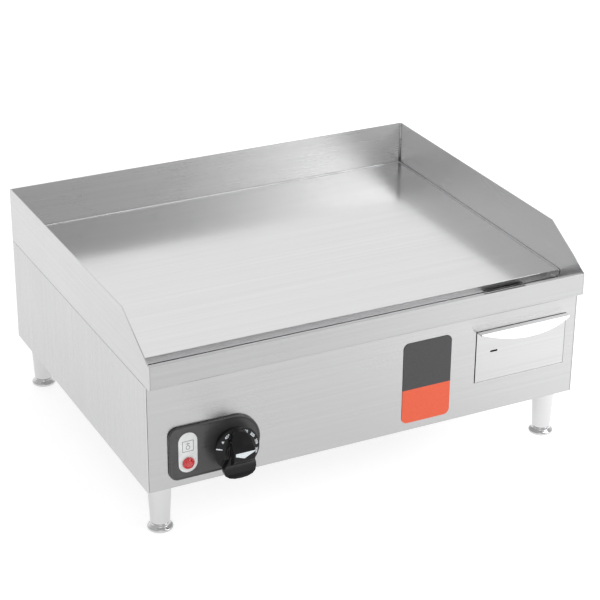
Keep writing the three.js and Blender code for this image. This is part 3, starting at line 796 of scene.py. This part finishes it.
def make_knob():
    """Flared skirt, hub, an arched wedge grip with a flat nose, and a scooped paddle below it."""
    centre = knob_centre()
    front = centre.y
    skirt = [
        (0, 36.5), (23.3, 36.5), (24.9, 32.5), (29.6, 23.7), (30.0, 22.5), (29.4, 21.7),
        (DIAL_EDGE, DIAL_DEPTH), (18.2, 18.0), (17.6, 14.6), (0, 14.6),
    ]
    profile = rounded([(radius * MM, -depth * MM) for radius, depth in skirt], 0.5 * MM, 3)
    body = lathe("skirt", profile, centre, "-y", 128)

    half_grip = 13.9
    crown = 14.5
    arch = [(-half_grip, -17.5), (half_grip, -17.5)]
    arch += arc(0, crown, half_grip, 0, 180, 18)
    boss = prism_y("boss", at_knob(arch), front - 5 * MM, front + 25 * MM)
    side = [
        (25, -17), (25, 29), (16.5, 29), (15.2, 27.6), (3, 11.5),
        (0.2, 8.5), (0.2, -5), (8, -12), (18, -17),
    ]
    grip = boolean(boss, "INTERSECT", across_knob("wedge", side, 20))

    wing = [
        (13.5, 2), (15.5, -6), (18.6, -12), (21.4, -19), (21.6, -24),
        (20.0, -29), (15.5, -32), (8.5, -34.3), (0, -34.9),
    ]
    wing += [(-x, z) for x, z in reversed(wing[:-1])]
    paddle = prism_y("paddle", at_knob(wing), front + 11.3 * MM, front + 20.7 * MM)
    scoop = arc(-2.5, -23, 16.5, 0, 350, 35)
    paddle = boolean(paddle, "DIFFERENCE", across_knob("scoop", scoop, 30))

    mesh = moulded("knob", [body, grip, paddle], voxel=0.42 * MM, rounds=5)
    piece = show(mesh, "knob_moulding", "knob", "knob")
    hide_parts("control_knob")


def make_pointer():
    """Five-sided metal inlay in the knob's nose."""
    front = knob_centre().y
    outline = at_knob([(-12, 7), (-12, 3.1), (-0.7, -1.2), (13.2, 5.6), (13.2, 7)])
    mesh = prism_y("pointer", outline, front + 0.02 * MM, front + 1.0 * MM)
    piece = show(mesh, "pointer_inlay", "silver", "knob")
    soften_edges(piece, 0.12 * MM)
    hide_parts("knob_pointer")


def dial_matrix(angle, radius, height):
    """Frame on the skirt's sloping face: X along the rim, Y outward, Z off the face."""
    centre = knob_centre()
    tilt = math.atan(DIAL_SLOPE)
    turn = math.radians(angle)
    outward = Vector((math.cos(turn), 0, math.sin(turn)))
    forward = Vector((0, -1, 0))
    up = outward * math.cos(tilt) - forward * math.sin(tilt)
    normal = forward * math.cos(tilt) + outward * math.sin(tilt)
    right = up.cross(normal)
    depth = (DIAL_DEPTH + DIAL_SLOPE * (radius - DIAL_EDGE)) * MM
    place = centre + outward * radius * MM - forward * depth + normal * height
    return Matrix.Translation(place) @ Matrix((right, up, normal)).transposed().to_4x4()


def numeral(text, angle):
    data = bpy.data.curves.new("numeral", "FONT")
    data.body = text
    data.size = 4.9 * MM
    data.align_x = "CENTER"
    data.align_y = "CENTER"
    data.extrude = 0.12 * MM
    data.offset = 0.09 * MM
    thing = bpy.data.objects.new("numeral", data)
    bpy.context.scene.collection.objects.link(thing)
    mesh = applied(thing)
    mesh.transform(dial_matrix(angle, PRINT_RADIUS, 0.02 * MM))
    return mesh


def flat_mark(outline, angle, radius):
    """A printed mark on the dial from an outline in its own frame, in millimetres."""
    vertices = [(x * MM, y * MM, z) for z in (-0.1 * MM, 0.14 * MM) for x, y in outline]
    mesh = clean_mesh("mark", vertices, prism_faces(len(outline)))
    mesh.transform(dial_matrix(angle, radius, 0))
    return mesh


def make_dial_print():
    marks = [numeral(text, angle) for text, angle in NUMERALS.items()]
    line = [(-0.75, -4.0), (0.75, -4.0), (0.75, 4.0), (-0.75, 4.0)]
    triangle = [(-1.9, -1.5), (1.9, -1.5), (0, 1.9)]
    marks.append(flat_mark(line, OFF_LINE, PRINT_RADIUS + 0.2))
    marks.append(flat_mark(triangle, TRIANGLE, PRINT_RADIUS))
    show(merged("dial", marks), "dial_numerals", "white_print", "knob")


# ---------------------------------------------------------------- welds, painted gap shade, screws and gland

BEAD_RADIUS = 1.1 * MM


def make_welds():
    """Ground beads where the plate meets the guards, and in the two back corners."""
    plate_low, plate_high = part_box("griddle_plate")
    top = plate_high.z + 0.3 * MM
    x = plate_high.x - 0.7 * MM
    back = plate_high.y - 0.5 * MM
    front = plate_low.y - 0.4 * MM
    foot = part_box("griddle_plate")[1].z - 8.5 * MM
    path = [
        (-x, front, foot), (-x, front, top), (-x, back, top),
        (x, back, top), (x, front, top), (x, front, foot),
    ]
    bead = tube("bead", rounded(path, 3 * MM, 5), BEAD_RADIUS)
    show(bead, "plate_weld", "weld", "cabinet")
    guard_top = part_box("backsplash")[1].z
    for side, name in ((-1, "left"), (1, "right")):
        corner = side * (x + 0.4 * MM)
        line = [(corner, back + 0.3 * MM, top), (corner, back + 0.3 * MM, guard_top - 0.6 * MM)]
        bead = tube("bead", line, BEAD_RADIUS)
        show(bead, "corner_weld_" + name, "weld", "cabinet")


def make_gap_shade_line():
    """Near-black bar under the plate's front edge: painted shade for the shadowed gap between the plate and
    the grease trough.
    """
    plate_low, plate_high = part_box("griddle_plate")
    z = plate_high.z - 10.3 * MM
    y = plate_low.y + 0.9 * MM
    half = plate_high.x - 1.5 * MM
    # A thin near-black bar along the plate's front: painted shade in the gap beneath it.
    bead = tube("gap_shade_bar", [(-half, y, z), (half, y, z)], 0.75 * MM, 10)
    show(bead, "trough_gap_shade", "gap_shade", "cabinet")


def screw_head(x, y, z):
    """Low pan head facing back."""
    profile = [(0, -0.1), (3.2, -0.1), (3.4, 0.5), (2.9, 1.3), (1.7, 1.8), (0.9, 1.85), (0.8, 1.2), (0, 1.0)]
    return lathe("screw", [(r * MM, -h * MM) for r, h in profile], (x, y, z), "-y", 24)


def make_screws():
    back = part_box("back_panel")[1].y
    places = [(x, z) for x in (-285, -95, 95, 285) for z in (82, 205)]
    places += [(x, z) for z in (125, 165) for x in (-285, 285)]
    heads = [screw_head(x * MM, back, z * MM) for x, z in places]
    show(merged("screws", heads), "back_screws", "zinc", "cabinet")


def make_gland():
    """Strain relief: a smooth domed nut, a hexagon and a plain stem through the panel."""
    low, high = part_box("cable_gland")
    place = ((low.x + high.x) / 2, high.y, (low.z + high.z) / 2)
    hexagon = [(5.0 * MM, 12.2 * MM), (13.9 * MM, 12.2 * MM), (13.9 * MM, 19.6 * MM), (5.0 * MM, 19.6 * MM)]
    dome = [
        (5.0, 0.1), (8.2, 0.1), (9.6, 1.4), (11.2, 4.6),
        (11.4, 6.0), (11.4, 12.4), (5.0, 12.4), (5.0, 0.1),
    ]
    thread = [(5.0, 19.0), (9.9, 19.0), (9.9, 31.9), (5.0, 31.9), (5.0, 19.0)]
    parts = [
        lathe("nut", [*hexagon, hexagon[0]], place, "-y", 6),
        lathe("dome", rounded([(r * MM, h * MM) for r, h in dome], 0.6 * MM), place, "-y", 64),
        lathe("thread", [(r * MM, h * MM) for r, h in thread], place, "-y", 48),
    ]
    mesh = moulded("gland", parts, voxel=0.4 * MM, rounds=2)
    piece = show(mesh, "gland_body", "bezel", "cabinet")
    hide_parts("cable_gland")


# ---------------------------------------------------------------- scene

make_camera()
make_world()
make_lights()
make_floor()
dress_nodes()
for leg_place in LEG_PLACES:
    make_leg(leg_place)
    make_foot(leg_place)
make_bezel()
make_index_mark()
make_indicator()
make_lamp()
make_label()
make_knob()
make_pointer()
make_dial_print()
make_welds()
make_gap_shade_line()
make_screws()
make_gland()

bpy.context.scene.view_settings.view_transform = "Standard"
